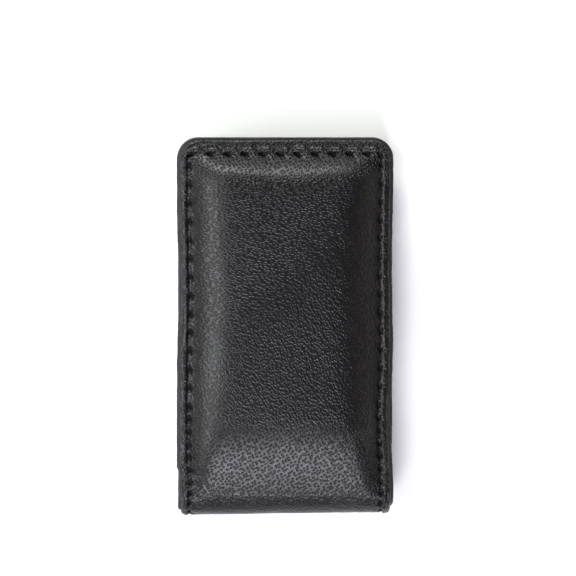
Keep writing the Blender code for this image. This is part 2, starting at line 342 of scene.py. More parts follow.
def creases(x, s):
    """Thin creases that run down to the right, and soft waves under them."""
    slant = slanted_map(x, s)
    right = smooth(-2, 15, x)
    fine = waver(slant[0] * 0.30, slant[1] * 1.05, 11.0)
    long = waver(slant[0] * 0.13, slant[1] * 0.55, 17.0)
    wave = waver(x * 0.16, s * 0.11, 23.0)
    thin = max(0, 1 - abs(fine) * 6) * (0.3 + 0.7 * right)
    broad = max(0, 1 - abs(long) * 5) * right
    return -0.030 * thin - 0.045 * broad + 0.06 * wave


# %% What the seam does
PIT_DEPTH = 0.75
PIT_INSET = 0.14  # the thread pulls each pit this far towards the pad
GROOVE_WIDTH = 0.16
GROOVE_DEPTH = 0.26
WELT_HEIGHT = 0.19
RIDGE_HEIGHT = 0.115
EDGE_ROUND = 0.5
EDGE_DROP = 0.38
THINNEST = 0.12  # of the leather, at the bottom of a pit


def seam_relief(x, s, seam):
    """The groove along the stitches, a pit at each hole, and the leather swelling between them."""
    along, across, half_gap = from_hole(x, s)
    top = smooth(SEAM[1] - 3, SEAM[1] - 1, from_bend(s))
    slant = 0.9 - 2.1 * top  # the awl's slits lean the other way along the free end
    pit = 1 - smooth(0.10, 0.46, math.hypot(across - PIT_INSET, 0.65 * (along + slant * across)))
    between = min(abs(along + (0.5 - 1.7 * top) * across) / half_gap, 1)
    swell = 1 - 2 * (1 - between) ** 2.5
    groove = bump(0, GROOVE_WIDTH, seam) * GROOVE_DEPTH * (1 - 0.5 * swell)
    lift = bump(-0.75, 0.55, seam) * (0.07 + 0.12 * top) * swell
    pull = math.exp(-max(seam, 0) / 1.3) * smooth(0, 0.5, seam) * (0.09 + 0.06 * top) * swell
    return lift + pull - groove - PIT_DEPTH * pit


def margin_relief(x, s, seam, edge):
    """The sewn margin: a rounded welt with ridges that run along the edge, which drops off roundly."""
    t = from_bend(s)
    outside = smooth(0.1, -0.45, seam)
    on_top = smooth(-1, 1, t - (SEAM[1] - 1.0))
    run = s * (1 - on_top) + x * on_top
    ridges = waver(edge * 2.3, run * 0.22, 31.0)
    ridges += 0.5 * waver(edge * 5, run * 0.5, 37.0)
    welt = WELT_HEIGHT * bump(-0.62, 0.42, seam)
    near_edge = 1 - min(edge / EDGE_ROUND, 1)
    drop = EDGE_DROP * (1 - math.sqrt(max(1 - near_edge * near_edge, 0)))
    return outside * (RIDGE_HEIGHT * ridges + welt) - drop


def fold_relief(x, s, seam):
    """Gathers, a lap and a looped ridge near the fold on the front, and cross wrinkles round the fold."""
    t = from_bend(s)
    front = on_front(s)
    low = 1 - smooth(4.0, 7.0, t)
    outside = smooth(0.3, -0.2, seam)
    gathers = 0.16 * waver(x * 2.1, s * 0.25, 41.0) * outside * low
    corner = bump(-15.4, 2.4, x) * bump(2.0, 3.2, t)
    pleats = 0.13 * waver((x + s * 0.8) * 1.1, (s - x) * 0.3, 43.0) * corner
    lap = 0.0
    if x < 0:
        lap = outside * (-0.10 * (1 - smooth(LAP - 0.3, LAP, t)) - 0.20 * bump(LAP - 0.15, 0.14, t))
    loop = 0.13 * bump(18.5, 0.22, x) * smooth(5.4, 6.2, t) * (1 - smooth(10.2, 11.0, t))
    ripple = 0.035 * waver(x * 0.22, s * 1.1, 47.0) * (1 - smooth(-1, 2, t))
    return gathers + ripple + front * (pleats + lap + loop)


def relief(x, s):
    """How far the hide's face stands out from its crown, in millimetres."""
    t = from_bend(s)
    seam = inside(x, t, *SEAM)
    edge = inside(x, t, *COVER)
    slope = smooth(-2.0, 1.5, t) * (1 - smooth(11, 16, t))
    panel = smooth(0.2, 1.6, seam)
    grain = 0.010 * panel * (1 - slope) + 0.010
    total = grain * (pebbles(x, s) - 0.6) + creases(x, s) * panel
    if slope * panel > 0:
        total += 0.012 * slope * panel * (slope_pits(x, s) - 0.7)
    total += margin_relief(x, s, seam, edge) + fold_relief(x, s, seam)
    if abs(seam) < 5:
        total += seam_relief(x, s, seam)
    return max(total, THINNEST - COVER_THICKNESS)


print(f"relief at the middle {relief(0, 30):.3f} mm, at a hole {relief(-SEAM[0], 60.3):.3f} mm")

# %% [markdown]
# ## Grids, and closing a grid into a leather
#
# Every leather starts as one flat grid. Its columns are shares of the half width, so a row that is shorter
# near the rounded corners draws them all in. Extruding the whole grid once gives it a second side and a
# rim, and then each side is moved to its own height. Solidify would keep the same thickness everywhere, but
# a cut edge is thinner, because the edge is pressed and sanded round.


# %% Grid and wall
def spread(first, last, count):
    """Evenly spaced values with count gaps between them."""
    return [first + (last - first) * i / count for i in range(count + 1)]


def half_width(t, outline):
    """Half the width of a leaf at a distance from the fold."""
    width, length, radius = outline
    along = min(max(t - (length - radius), 0), radius)
    return width - radius + math.sqrt(radius * radius - along * along)


def corner_rows(outline, count):
    """Rows through the rounded corners, evenly spaced round the arc."""
    length, radius = outline[1:]
    return [length - radius + radius * math.sin(math.pi / 2 * i / count) for i in range(1, count + 1)]


def hide_grid(columns, rows, outline):
    """A flat grid with columns in shares of the half width and rows in millimetres."""
    bm = bmesh.new()
    across = len(columns) - 1
    along = len(rows) - 1
    bmesh.ops.create_grid(bm, x_segments=across, y_segments=along, size=0.5)
    for vertex in bm.verts:
        column = columns[round((vertex.co.x + 0.5) * across)]
        s = rows[round((vertex.co.y + 0.5) * along)]
        vertex.co = (column * half_width(from_bend(s), outline), s, 0)
    return bm


def is_join(s):
    """Whether a row lies where two leathers meet. A sharp edge keeps the shading clean there."""
    return any(abs(s + OUTSIDE * BEND * i) < 0.001 for i in range(len(HINGES) + 1))


def leather(name, bm, face, back):
    """Closes a grid into a leather. face and back give its sides' heights from x, s and the grid's."""
    hide = bm.verts.layers.float_vector.new("hide")
    grown = bmesh.ops.extrude_face_region(bm, geom=bm.faces[:])["geom"]
    upper = {vertex for vertex in grown if isinstance(vertex, bmesh.types.BMVert)}
    for vertex in bm.verts:
        x, s, height = vertex.co
        out = face(x, s, height) if vertex in upper else back(x, s, height)
        vertex[hide] = (x, s, out)
        vertex.co = place(x, s, out)
    bmesh.ops.recalc_face_normals(bm, faces=bm.faces)
    if bm.calc_volume(signed=True) < 0:
        bmesh.ops.reverse_faces(bm, faces=bm.faces)
    for face in bm.faces:
        face.smooth = True
    for edge in bm.edges:
        at_join = all(is_join(vertex[hide].y) for vertex in edge.verts)
        edge.smooth = not (at_join and edge.calc_face_angle(0) > 1.0)
    open_edges = sum(1 for edge in bm.edges if not edge.is_manifold)
    mesh = bpy.data.meshes.new(name)
    bm.to_mesh(mesh)
    bm.free()
    piece = bpy.data.objects.new(name, mesh)
    bpy.context.scene.collection.objects.link(piece)
    print(f"{name}: {len(mesh.polygons)} faces, {open_edges} open edges")
    return piece


def evaluated(piece):
    """The piece's mesh with its modifiers applied, as a new bmesh; the piece itself is thrown away."""
    bpy.context.view_layer.update()
    result = piece.evaluated_get(bpy.context.evaluated_depsgraph_get())
    bm = bmesh.new()
    bm.from_mesh(result.to_mesh())
    result.to_mesh_clear()
    mesh = piece.data
    bpy.data.objects.remove(piece, do_unlink=True)
    bpy.data.meshes.remove(mesh)
    return bm


def finer(bm, levels=2):
    """Splits every face of a grid in four, twice, and rounds it as it does."""
    mesh = bpy.data.meshes.new("grid")
    bm.to_mesh(mesh)
    bm.free()
    piece = bpy.data.objects.new("grid", mesh)
    bpy.context.scene.collection.objects.link(piece)
    modifier = piece.modifiers.new("finer", "SUBSURF")
    modifier.levels = levels
    modifier.render_levels = levels
    modifier.boundary_smooth = "PRESERVE_CORNERS"
    return evaluated(piece)


# %% [markdown]
# ## Pulling the leather over the pad
#
# The real leather is glued over the pad and sewn down at its margins while damp, and it dries with soft
# dents and bulges that no formula has. Cloth simulation finds them: the sheet starts on the crown, is held
# at the seam and beyond, is cut a little too large, and is blown up gently from inside. It is run at twenty
# times the size, because the solver is made for cloth of about a metre. A limit on how far a point may move
# keeps the true size, and each move is evened out with its neighbours', because leather is too thick for
# small wrinkles.

# %% Cloth
SIM_SCALE = 0.02  # metres in the simulation for one millimetre
LARGEST_MOVE = 0.4
SIM_FRAMES = 24
EVENINGS = 8
FADE = 14.0  # next to the fold the moves fade out over this stretch


def limited(move):
    """A short move stays nearly as it is, and a long one stops at the limit."""
    return move * (LARGEST_MOVE * math.tanh(move.length / LARGEST_MOVE) / max(move.length, 1e-9))


def evened(vertex, moves):
    """A vertex's move, averaged with its neighbours' unless it is on the sheet's edge."""
    if vertex.is_boundary:
        return moves[vertex.index]
    around = [edge.other_vert(vertex) for edge in vertex.link_edges]
    return sum((moves[other.index] for other in around), moves[vertex.index]) / (len(around) + 1)


def make_cloth(sheet):
    """Stiff cloth, cut a little too large, held by its group and blown up gently."""
    modifier = sheet.modifiers.new("cloth", "CLOTH")
    cloth = modifier.settings
    cloth.quality = 7
    cloth.mass = 0.4
    cloth.tension_stiffness = 30
    cloth.compression_stiffness = 30
    cloth.shear_stiffness = 12
    cloth.bending_stiffness = 1.2
    cloth.vertex_group_mass = "held"
    cloth.pin_stiffness = 1
    cloth.shrink_min = -0.014
    cloth.use_pressure = True
    cloth.uniform_pressure_force = 1.2
    cloth.effector_weights.gravity = 0
    modifier.collision_settings.use_collision = False
    modifier.point_cache.frame_start = 1
    modifier.point_cache.frame_end = SIM_FRAMES


def settle(bm, highest):
    """Moves a coarse crown grid to where the cloth settles, but never above the highest."""
    starts = [vertex.co.copy() for vertex in bm.verts]
    mesh = bpy.data.meshes.new("cloth")
    bm.to_mesh(mesh)
    sheet = bpy.data.objects.new("cloth", mesh)
    bpy.context.scene.collection.objects.link(sheet)
    for vertex in mesh.vertices:
        vertex.co *= SIM_SCALE
    held = sheet.vertex_groups.new(name="held")
    for i, start in enumerate(starts):
        seam = inside(start.x, from_bend(start.y), *SEAM)
        loose = smooth(0.2, 1.2, seam) * smooth(1.0, 3.0, from_bend(start.y))
        held.add([i], 1 - loose, "REPLACE")
    make_cloth(sheet)
    scene = bpy.context.scene
    for step in range(1, SIM_FRAMES + 1):
        scene.frame_set(step)
    found = evaluated(sheet)
    found.verts.ensure_lookup_table()
    moves = [vertex.co / SIM_SCALE - start for vertex, start in zip(found.verts, starts)]
    free = max(move.length for move in moves)
    moves = [limited(move) for move in moves]
    for evening in range(EVENINGS):
        moves = [evened(vertex, moves) for vertex in found.verts]
    largest = max(move.length for move in moves)
    for vertex, start, move in zip(bm.verts, starts, moves):
        vertex.co = start + move * smooth(0.0, FADE, from_bend(start.y))
        vertex.co.z = min(vertex.co.z, highest)
    found.free()
    scene.frame_set(1)
    print(f"the cloth moved by up to {free:.2f} mm, and {largest:.2f} mm of it is kept")


# %% [markdown]
# ## The two covers
#
# A cover is the outer leather of one leaf. The grid is coarse for the cloth, about a millimetre, and is
# then split to a quarter of a millimetre so that it can carry the pebbles. Its lines are closer at the cut
# edges, where the leather turns over sharply, and at the fold, where it meets the next piece. The rear leaf
# lies on the table, so its crown is kept from rising past its true height.

# %% Covers
EDGE_SHARE = 0.02  # the outermost column's share of the half width
inner_columns = spread(2 * EDGE_SHARE - 1, 1 - 2 * EDGE_SHARE, 38)
COVER_COLUMNS = [-1.0, EDGE_SHARE - 1] + inner_columns + [1 - EDGE_SHARE, 1.0]
JOIN_ROW = 0.12  # from a join to the next row
RESTING_GAP = 0.06  # room for the grain under the leaf that lies on the table


def cover_face(x, s, height):
    return height + relief(x, s)


def cover_back(x, s, height):
    return height - COVER_THICKNESS


def cover(name, rear):
    rows = [0, JOIN_ROW] + spread(0.8, COVER[1] - COVER[2], 62) + corner_rows(COVER, 8)
    if rear:
        rows = [-FOLD_LENGTH - t for t in rows]
    bm = hide_grid(COVER_COLUMNS, rows, COVER)
    if rear:
        bmesh.ops.reverse_faces(bm, faces=bm.faces)  # so that its outside is the side that is blown up
    for vertex in bm.verts:
        vertex.co.z = crown(vertex.co.x, vertex.co.y)
    settle(bm, RISE - RESTING_GAP if rear else 2 * RISE)
    return leather(name, finer(bm), cover_face, cover_back)


front_cover = cover("front_cover", rear=False)
rear_cover = cover("rear_cover", rear=True)

# %% [markdown]
# ## The cover round the fold
#
# Where the leather goes round the fold it has to bend as the clip opens. It is split at the two middle
# bodies of the fold into thirds, one round each hinge. The columns are the same as the covers', so the edges
# of neighbours match point for point.


# %% Fold covers
def fold_rows(third, step):
    first = -third * BEND * OUTSIDE
    last = first - BEND * OUTSIDE
    inner = spread(first - JOIN_ROW, last + JOIN_ROW, round(BEND * OUTSIDE / step))
    return [first] + inner + [last]


def fold_cover(name, third):
    bm = hide_grid(COVER_COLUMNS, fold_rows(third, 0.9), COVER)
    for vertex in bm.verts:
        vertex.co.z = crown(vertex.co.x, vertex.co.y)
    return leather(name, finer(bm), cover_face, cover_back)


THIRDS = [("front_leaf", "fold_2"), ("fold_2", "fold_1"), ("fold_1", "rear_leaf")]
THIRD_NAMES = ["upper", "middle", "lower"]
fold_covers = [fold_cover(f"fold_cover_{third}", i) for i, third in enumerate(THIRD_NAMES)]

# %% [markdown]
# ## The linings
#
# The lining is a thinner and smoother leather that lies flat against the notes. It stands out six tenths of
# a millimetre past the cover all round, with its edge sanded and dyed, so it shows as a dark rim. Its inner
# face shows when the clip is open: it has the second row of stitches, and it is lightly wrinkled on the
# inside of the fold, where leather has to give.

# %% Linings
BURNISH = 0.32  # radius of the sanded edge
MAGNET_MIDDLE = (6.6, 46.0)  # from the clip's middle, and from the fold
MAGNET_HALF = (5.0, 10.0)
MAGNET_SHOW = 0.05  # how far the lining stands up over a magnet
LINING_EDGE_SHARES = [0.0, 0.0025, 0.007, 0.015]
LINING_INNER_SHARE = 0.03


def edge_drop(x, s):
    """How far the sanded edge is rounded off."""
    share = 1 - min(inside(x, from_bend(s), *LINING) / BURNISH, 1)
    return BURNISH * (1 - math.sqrt(max(1 - share * share, 0)))


def lining_face(x, s, height):
    """The side that the cover is glued to."""
    edge = inside(x, from_bend(s), *LINING)
    rough = 0.03 * waver(edge * 3, s * 0.5 + x * 0.5, 53.0) * (1 - smooth(0.6, 1.0, edge))
    return -LINING_FACE - edge_drop(x, s) + rough


def lining_back(x, s, height):
    """The side that touches the notes."""
    t = from_bend(s)
    seam = inside(x, t, *SEAM)
    along, across = from_hole(x, s)[:2]
    dent = 0.20 * bump(0, 0.42, seam) * (1 - smooth(3, 6, abs(seam)))
    pit = 0.24 * bump(0, 0.28, across) * bump(0, 0.42, along)
    waves = 0.035 * waver(x * 0.25, s * 0.25, 59.0)
    wrinkle = 0.11 * waver(x * 0.12, s * 1.25, 61.0) * (1 - smooth(-1.5, 1.0, t))
    over_across = smooth(-1, 1, MAGNET_HALF[0] - abs(abs(x) - MAGNET_MIDDLE[0]))
    over_along = smooth(-1, 1, MAGNET_HALF[1] - abs(t - MAGNET_MIDDLE[1]))
    magnets = MAGNET_SHOW * over_across * over_along
    return -LINING_BOTTOM + edge_drop(x, s) + dent + pit + waves + wrinkle - magnets


def lining_columns():
    left = [share - 1 for share in LINING_EDGE_SHARES]
    inner = spread(LINING_INNER_SHARE - 1, 1 - LINING_INNER_SHARE, 84)
    right = [1 - share for share in LINING_EDGE_SHARES[::-1]]
    return left + inner + right


def lining(name, rear):
    rows = [0, 0.05] + spread(0.5, LINING[1] - LINING[2], 130) + corner_rows(LINING, 26)
    if rear:
        rows = [-FOLD_LENGTH - t for t in rows]
    return leather(name, hide_grid(lining_columns(), rows, LINING), lining_face, lining_back)


def fold_lining(name, third):
    bm = hide_grid(lining_columns(), fold_rows(third, 0.22), LINING)
    return leather(name, bm, lining_face, lining_back)


front_lining = lining("front_lining", rear=False)
rear_lining = lining("rear_lining", rear=True)
fold_linings = [fold_lining(f"fold_lining_{third}", i) for i, third in enumerate(THIRD_NAMES)]

# %% [markdown]
# ## The thread
#
# Each stitch is a short length of bonded thread that comes up through one hole, lies along the groove and
# goes down the next. It leans a little across the seam, as every machine stitch does. A curve with a round
# bevel is the quickest way to make a cord, and one spline for each stitch lets its ends stay down in the
# holes.

# %% Stitches
THREAD_RADIUS = 0.13
# Shares of the way to the next hole, and heights: up from one hole, along, and down the other.
HALF_STITCH = [(0.00, -0.62), (0.07, -0.30), (0.18, -0.02), (0.38, 0.10)]
STITCH_SHAPE = HALF_STITCH + [(1 - share, height) for share, height in HALF_STITCH[::-1]]
LEAN = 0.10  # across the seam, at each end of a stitch
INNER_DIRECTION = -0.5  # the bobbin thread lies the other way up and flatter


def stitches(name, runs, groove, direction):
    """Threads between neighbouring holes of each run. direction is 1 outwards, below 0 towards the notes."""
    curve = bpy.data.curves.new(name, "CURVE")
    curve.dimensions = "3D"
    curve.bevel_depth = THREAD_RADIUS * MM
    curve.bevel_resolution = 2
    curve.use_fill_caps = True
    for run in runs:
        for first, last in zip(run[:-1], run[1:]):
            way = Vector((last[0] - first[0], last[1] - first[1]))
            side = Vector((way.y, -way.x)).normalized()
            spline = curve.splines.new("POLY")
            spline.points.add(len(STITCH_SHAPE) - 1)
            for point, (share, height) in zip(spline.points, STITCH_SHAPE):
                lean = side * LEAN * (1 - 2 * share)
                x = first[0] + way.x * share + lean.x
                s = first[1] + way.y * share + lean.y
                point.co = (*place(x, s, groove + direction * height), 1)
    cord = bpy.data.objects.new(name, curve)
    bpy.context.scene.collection.objects.link(cord)
    bpy.context.view_layer.update()
    mesh = bpy.data.meshes.new_from_object(cord.evaluated_get(bpy.context.evaluated_depsgraph_get()))
    bpy.data.objects.remove(cord, do_unlink=True)
    bpy.data.curves.remove(curve)
    mesh.name = name
    mesh.shade_smooth()
    piece = bpy.data.objects.new(name, mesh)
    bpy.context.scene.collection.objects.link(piece)
    print(f"{name}: {sum(len(run) - 1 for run in runs)} stitches, {len(mesh.polygons)} faces")
    return piece


GROOVE_FLOOR = -0.42
INNER_GROOVE = -LINING_BOTTOM + 0.12
front_seam = stitches("front_seam", [front_holes], GROOVE_FLOOR, 1)
rear_seam = stitches("rear_seam", [rear_holes], GROOVE_FLOOR, 1)
front_bobbin = stitches("front_bobbin", [front_holes], INNER_GROOVE, INNER_DIRECTION)
rear_bobbin = stitches("rear_bobbin", [rear_holes], INNER_GROOVE, INNER_DIRECTION)
fold_seams = []
fold_bobbins = []
for i, third in enumerate(THIRD_NAMES):
    runs = [fold_holes(side, 2 * i, 2 * i + 2) for side in (-1, 1)]
    fold_seams.append(stitches(f"fold_seam_{third}", runs, GROOVE_FLOOR, 1))
    fold_bobbins.append(stitches(f"fold_bobbin_{third}", runs, INNER_GROOVE, INNER_DIRECTION))

# %% [markdown]
# ## Shader maths in plain Python
#
# A node material is a sum written with wires. The small class below holds one wire, so that 1 - mask adds
# the Math node that it stands for. Every other node comes from one function, which sets what the node does
# first and then its inputs.


# %% Wires
class Wire:
    """A shader socket that can be added, multiplied and so on."""

    def __init__(self, socket):
        self.socket = socket

    def sibling(self, name):
        """Another output of the same node."""
        return Wire(self.socket.node.outputs[name])

    def math(self, operation, *values):
        tree = self.socket.id_data
        return node(tree, "ShaderNodeMath", {"operation": operation}, dict(enumerate(values)))

    def __add__(self, other):
        return self.math("ADD", self, other)

    def __radd__(self, other):
        return self.math("ADD", other, self)

    def __sub__(self, other):
        return self.math("SUBTRACT", self, other)

    def __rsub__(self, other):
        return self.math("SUBTRACT", other, self)

    def __mul__(self, other):
        return self.math("MULTIPLY", self, other)

    def __rmul__(self, other):
        return self.math("MULTIPLY", other, self)

    def __truediv__(self, other):
        return self.math("DIVIDE", self, other)

    def __pow__(self, other):
        return self.math("POWER", self, other)


def node(tree, kind, settings, inputs, output=0):
    """Adds one node. Settings are its properties, or the stops of a ramp; inputs are values or wires."""
    added = tree.nodes.new(kind)
    for name, value in settings.items():
        if name == "stops":
            ramp = added.color_ramp
            ramp.elements[0].position, ramp.elements[0].color = value[0][0], grey(value[0][1])
            ramp.elements[1].position, ramp.elements[1].color = value[-1][0], grey(value[-1][1])
            for position, level in value[1:-1]:
                ramp.elements.new(position).color = grey(level)
        else:
            setattr(added, name, value)
    for name, value in inputs.items():
        if isinstance(value, Wire):
            tree.links.new(value.socket, added.inputs[name])
        else:
            added.inputs[name].default_value = value
    return Wire(added.outputs[output])


def grey(level):
    return (level, level, level, 1)


def new_finish(name, constants):
    """An empty finish: its tree and its shader, with the values that are the same all over."""
    finish = bpy.data.materials.new(name)
    finish.use_nodes = True
    shader = finish.node_tree.nodes["Principled BSDF"]
    for socket, value in constants.items():
        shader.inputs[socket].default_value = value
    return finish, finish.node_tree, shader


def feed(tree, shader, **wires):
    for name, wire in wires.items():
        tree.links.new(wire.socket, shader.inputs[name.replace("_", " ")])


def mixed(tree, factor, first, last):
    """A colour between two others."""
    return node(tree, "ShaderNodeMix", {"data_type": "RGBA"}, {0: factor, 6: first, 7: last}, output=2)


def turned(tree, vector, angle, scale):
    """The pattern space turned about its third axis and then scaled."""
    settings = {"vector_type": "POINT"}
    turn = {"Vector": vector, "Rotation": (0, 0, math.radians(angle))}
    spun = node(tree, "ShaderNodeMapping", settings, turn)
    return node(tree, "ShaderNodeMapping", settings, {"Vector": spun, "Scale": scale})


def cloudy(tree, vector, scale, detail=2, roughness=0.5):
    """Soft clouds, around a half."""
    inputs = {"Vector": vector, "Scale": scale, "Detail": detail, "Roughness": roughness}
    return node(tree, "ShaderNodeTexNoise", {}, inputs)


def cells(tree, vector, randomness=1.0):
    """Distance from the middle of the nearest cell, with the walls between cells rounded off."""
    settings = {"feature": "SMOOTH_F1", "voronoi_dimensions": "2D"}
    inputs = {"Vector": vector, "Scale": 1, "Smoothness": 0.35, "Randomness": randomness}
    return node(tree, "ShaderNodeTexVoronoi", settings, inputs)


def stretched(tree, value, low, high):
    """0 below low, 1 above high and smooth between."""
    settings = {"interpolation_type": "SMOOTHSTEP"}
    return node(tree, "ShaderNodeMapRange", settings, {"Value": value, "From Min": low, "From Max": high})


# %% [markdown]
# ## The outer leather's finish
#
# The hide is a full-grain black leather with a soft pigment finish. What the eye reads is not its colour,
# which is nearly nothing, but how its pits and ridges break the gloss: rounded pits two thirds of a
# millimetre apart, drawn out down to the right on one side and lying level at the top left. Where the hide
# is stretched, on the slope by the fold and at the free end, they are clearer and stand in rows. Ridges are
# polished a little, pits stay matt, and so does the bottom of the seam. The pattern reads the hide's own
# flat map, which is stored on every point, so that it runs over the joins and round the fold.


# %% Outer leather
def hide_map(tree):
    """The flat map's x, s and out, which leather() stored on every point."""
    return node(tree, "ShaderNodeAttribute", {"attribute_name": "hide"}, {}, output="Vector")


def outer_leather():
    constants = {"Specular IOR Level": 0.32, "Coat Roughness": 0.30, "Coat IOR": 1.45}
    finish, tree, shader = new_finish("outer_leather_finish", constants)
    hide = hide_map(tree)
    x = node(tree, "ShaderNodeSeparateXYZ", {}, {"Vector": hide})
    s = x.sibling("Y")
    deep = 1 - stretched(tree, x.sibling("Z"), -0.42, -0.12)
    cloud = cloudy(tree, hide, 0.5, 1).sibling("Color")
    shift = node(tree, "ShaderNodeVectorMath", {"operation": "SCALE"}, {0: cloud, "Scale": 0.5})
    warped = node(tree, "ShaderNodeVectorMath", {"operation": "ADD"}, {0: hide, 1: shift})

    slanted = cells(tree, turned(tree, warped, -30, (2.25, 1.70, 1.9)))
    level = cells(tree, turned(tree, warped, 12, (1.35, 2.6, 1.9)))
    top_left = stretched(tree, s - x, 28.0, 48.0)
    cell = slanted * (1 - top_left) + level * top_left
    pits = stretched(tree, cell, 0.12, 0.62)
    rows = cells(tree, turned(tree, warped, -30, (1.45, 1.65, 1.5)), 0.60)
    taut_by_fold = stretched(tree, s, -3.0, 1.0) * (1 - stretched(tree, s, 10.0, 17.0))
    taut = taut_by_fold + stretched(tree, s, 55.5, 59.0)
    pits = pits * (1 - taut) + stretched(tree, rows, 0.06, 0.42) * taut
    right = stretched(tree, x, 0.0, 14.0)
    hairs = cloudy(tree, turned(tree, warped, -30, (3.2, 1.1, 1.5)), 1.0, 3, 0.6)
    pores = cloudy(tree, warped, 5.5, 3, 0.65)
    large = cloudy(tree, hide, 0.16, 3, 0.55)

    shade = stretched(tree, large, 0.30, 0.72)
    dark = mixed(tree, shade, (0.0050, 0.0047, 0.0053, 1), (0.0085, 0.0078, 0.0088, 1))
    # The pits' centres are painted darker as well: painted shade in the hollows of the grain.
    colour = mixed(tree, pits * 0.75, (0.0020, 0.0019, 0.0021, 1), dark)
    fine = hairs * (0.12 + right * 0.16) * (1 - taut * 0.6)
    height = pits * (0.34 + taut * 0.58) + fine + pores * (0.09 + taut * 0.22)
    bumped = node(tree, "ShaderNodeBump", {}, {"Strength": 1.0, "Distance": 0.00015, "Height": height})
    rough = 0.365 - pits * 0.06 + pores * 0.08 - shade * 0.03 + deep * 0.40
    coat = (0.02 + pits * 0.07) * (1 - deep)
    feed(tree, shader, Base_Color=colour, Roughness=rough, Coat_Weight=coat, Normal=bumped)
    return finish


# %% [markdown]
# ## The lining's finish
#
# The lining is a split leather with a flatter, more matt surface and a finer grain. It has the faint bluish
# black of edge dye.


# %% Lining leather
def lining_leather():
    finish, tree, shader = new_finish("lining_leather_finish", {"Specular IOR Level": 0.4})
    hide = hide_map(tree)
    grain = cells(tree, turned(tree, hide, 20, (2.6, 2.2, 2.0)))
    pores = cloudy(tree, hide, 7.0, 3, 0.6)
    rubbed = stretched(tree, cloudy(tree, hide, 0.20, 4, 0.6), 0.35, 0.70)
    colour = mixed(tree, rubbed, (0.0110, 0.0113, 0.0125, 1), (0.0180, 0.0182, 0.0198, 1))
    height = stretched(tree, grain, 0.1, 0.6) * 0.6 + pores * 0.4
    bumped = node(tree, "ShaderNodeBump", {}, {"Strength": 0.6, "Distance": 0.00006, "Height": height})
    feed(tree, shader, Base_Color=colour, Roughness=0.62 - rubbed * 0.10 + pores * 0.08, Normal=bumped)
    return finish


# %% [markdown]
# ## Thread, board, foam and magnets
#
# The thread is bonded polyester: black, barely shiny, with the twist of its plies showing as fine slanted
# ridges, painted darker between them as painted shade. The board, the pads and the magnets are out of sight
# inside the leaves, and keep their CAD shapes. They still get the finish they have in real life, with
# painted shade in the foam's pores, so that the clip can be taken apart in a picture.


# %% Other finishes
def thread_finish():
    finish, tree, shader = new_finish("thread_finish", {"Specular IOR Level": 0.32})
    place_on = node(tree, "ShaderNodeTexCoord", {}, {}, output="Object")
    space = turned(tree, place_on, 38, (3200.0, 3200.0, 3200.0))
    bands = {"bands_direction": "DIAGONAL"}
    inputs = {"Vector": space, "Scale": 0.8, "Distortion": 1.0}
    ply = node(tree, "ShaderNodeTexWave", bands, inputs, output="Fac")
    fluff = cloudy(tree, space, 2.0, 3)
    # The colour follows the twist's height: ridges painted lighter, grooves between plies darker (painted
    # shade), with the fluff's random tone.
    ply_shade_and_fluff = ply * 0.7 + fluff * 0.3
    colour = mixed(tree, ply_shade_and_fluff, (0.0018, 0.0018, 0.0020, 1), (0.0090, 0.0090, 0.0097, 1))
    height = ply + fluff * 0.4
    bumped = node(tree, "ShaderNodeBump", {}, {"Strength": 0.7, "Distance": 0.00005, "Height": height})
    feed(tree, shader, Base_Color=colour, Roughness=0.65 + fluff * 0.2, Normal=bumped)
    return finish


def foam_finish():
    finish, tree, shader = new_finish("foam_finish", {"Specular IOR Level": 0.3})
    place_on = node(tree, "ShaderNodeTexCoord", {}, {}, output="Object")
    bubbles = cells(tree, turned(tree, place_on, 0, (2600.0, 2600.0, 2600.0)))
    # The bubbles' hollows are painted darker: painted shade in the pores.
    colour = mixed(tree, bubbles, (0.30, 0.30, 0.29, 1), (0.50, 0.50, 0.48, 1))
    bumped = node(tree, "ShaderNodeBump", {}, {"Strength": 0.7, "Distance": 0.0001, "Height": bubbles})
    feed(tree, shader, Base_Color=colour, Roughness=0.80 + bubbles * 0.1, Normal=bumped)
    return finish


def board_finish():
    finish, tree, shader = new_finish("fibre_board_finish", {"Specular IOR Level": 0.3})
    place_on = node(tree, "ShaderNodeTexCoord", {}, {}, output="Object")
    fibres = cloudy(tree, turned(tree, place_on, 15, (900.0, 3500.0, 3500.0)), 1.0, 4, 0.7)
    colour = mixed(tree, stretched(tree, fibres, 0.3, 0.7), (0.20, 0.165, 0.125, 1), (0.36, 0.32, 0.26, 1))
    bumped = node(tree, "ShaderNodeBump", {}, {"Strength": 0.5, "Distance": 0.00006, "Height": fibres})
    feed(tree, shader, Base_Color=colour, Roughness=0.75 + fibres * 0.15, Normal=bumped)
    return finish


def magnet_finish():
    finish, tree, shader = new_finish("magnet_finish", {"Metallic": 1.0})
    place_on = node(tree, "ShaderNodeTexCoord", {}, {}, output="Object")
    scuffs = cloudy(tree, turned(tree, place_on, 60, (400.0, 5000.0, 2000.0)), 1.0, 4, 0.6)
    colour = mixed(tree, scuffs, (0.62, 0.61, 0.59, 1), (0.78, 0.77, 0.75, 1))
    bumped = node(tree, "ShaderNodeBump", {}, {"Strength": 0.2, "Distance": 0.00002, "Height": scuffs})
    feed(tree, shader, Base_Color=colour, Roughness=0.18 + scuffs * 0.18, Normal=bumped)
    return finish


FINISHES = {
    "outer_leather": outer_leather(),
    "lining_leather": lining_leather(),
    "thread": thread_finish(),
    "foam": foam_finish(),
    "fibre_board": board_finish(),
    "magnet": magnet_finish(),
}
print("finishes:", sorted(FINISHES))

# %% [markdown]
# ## Putting it together
#
# Each new piece gets its finish, and the CAD solids that they stand for are hidden. The pieces of the leaves
# ride on a body; the pieces round the fold are baked where they lie and ride on none.


# %% Bodies and finishes
# The smallest radius that each leather has round the fold, with its wrinkles.
COVER_BEND_RADIUS = OUTSIDE - COVER_THICKNESS - 0.3
LINING_BEND_RADIUS = OUTSIDE - LINING_BOTTOM - 0.2


def finish_as(piece, slot):
    """Gives a piece its finish."""
    piece.data.materials.append(FINISHES[slot])


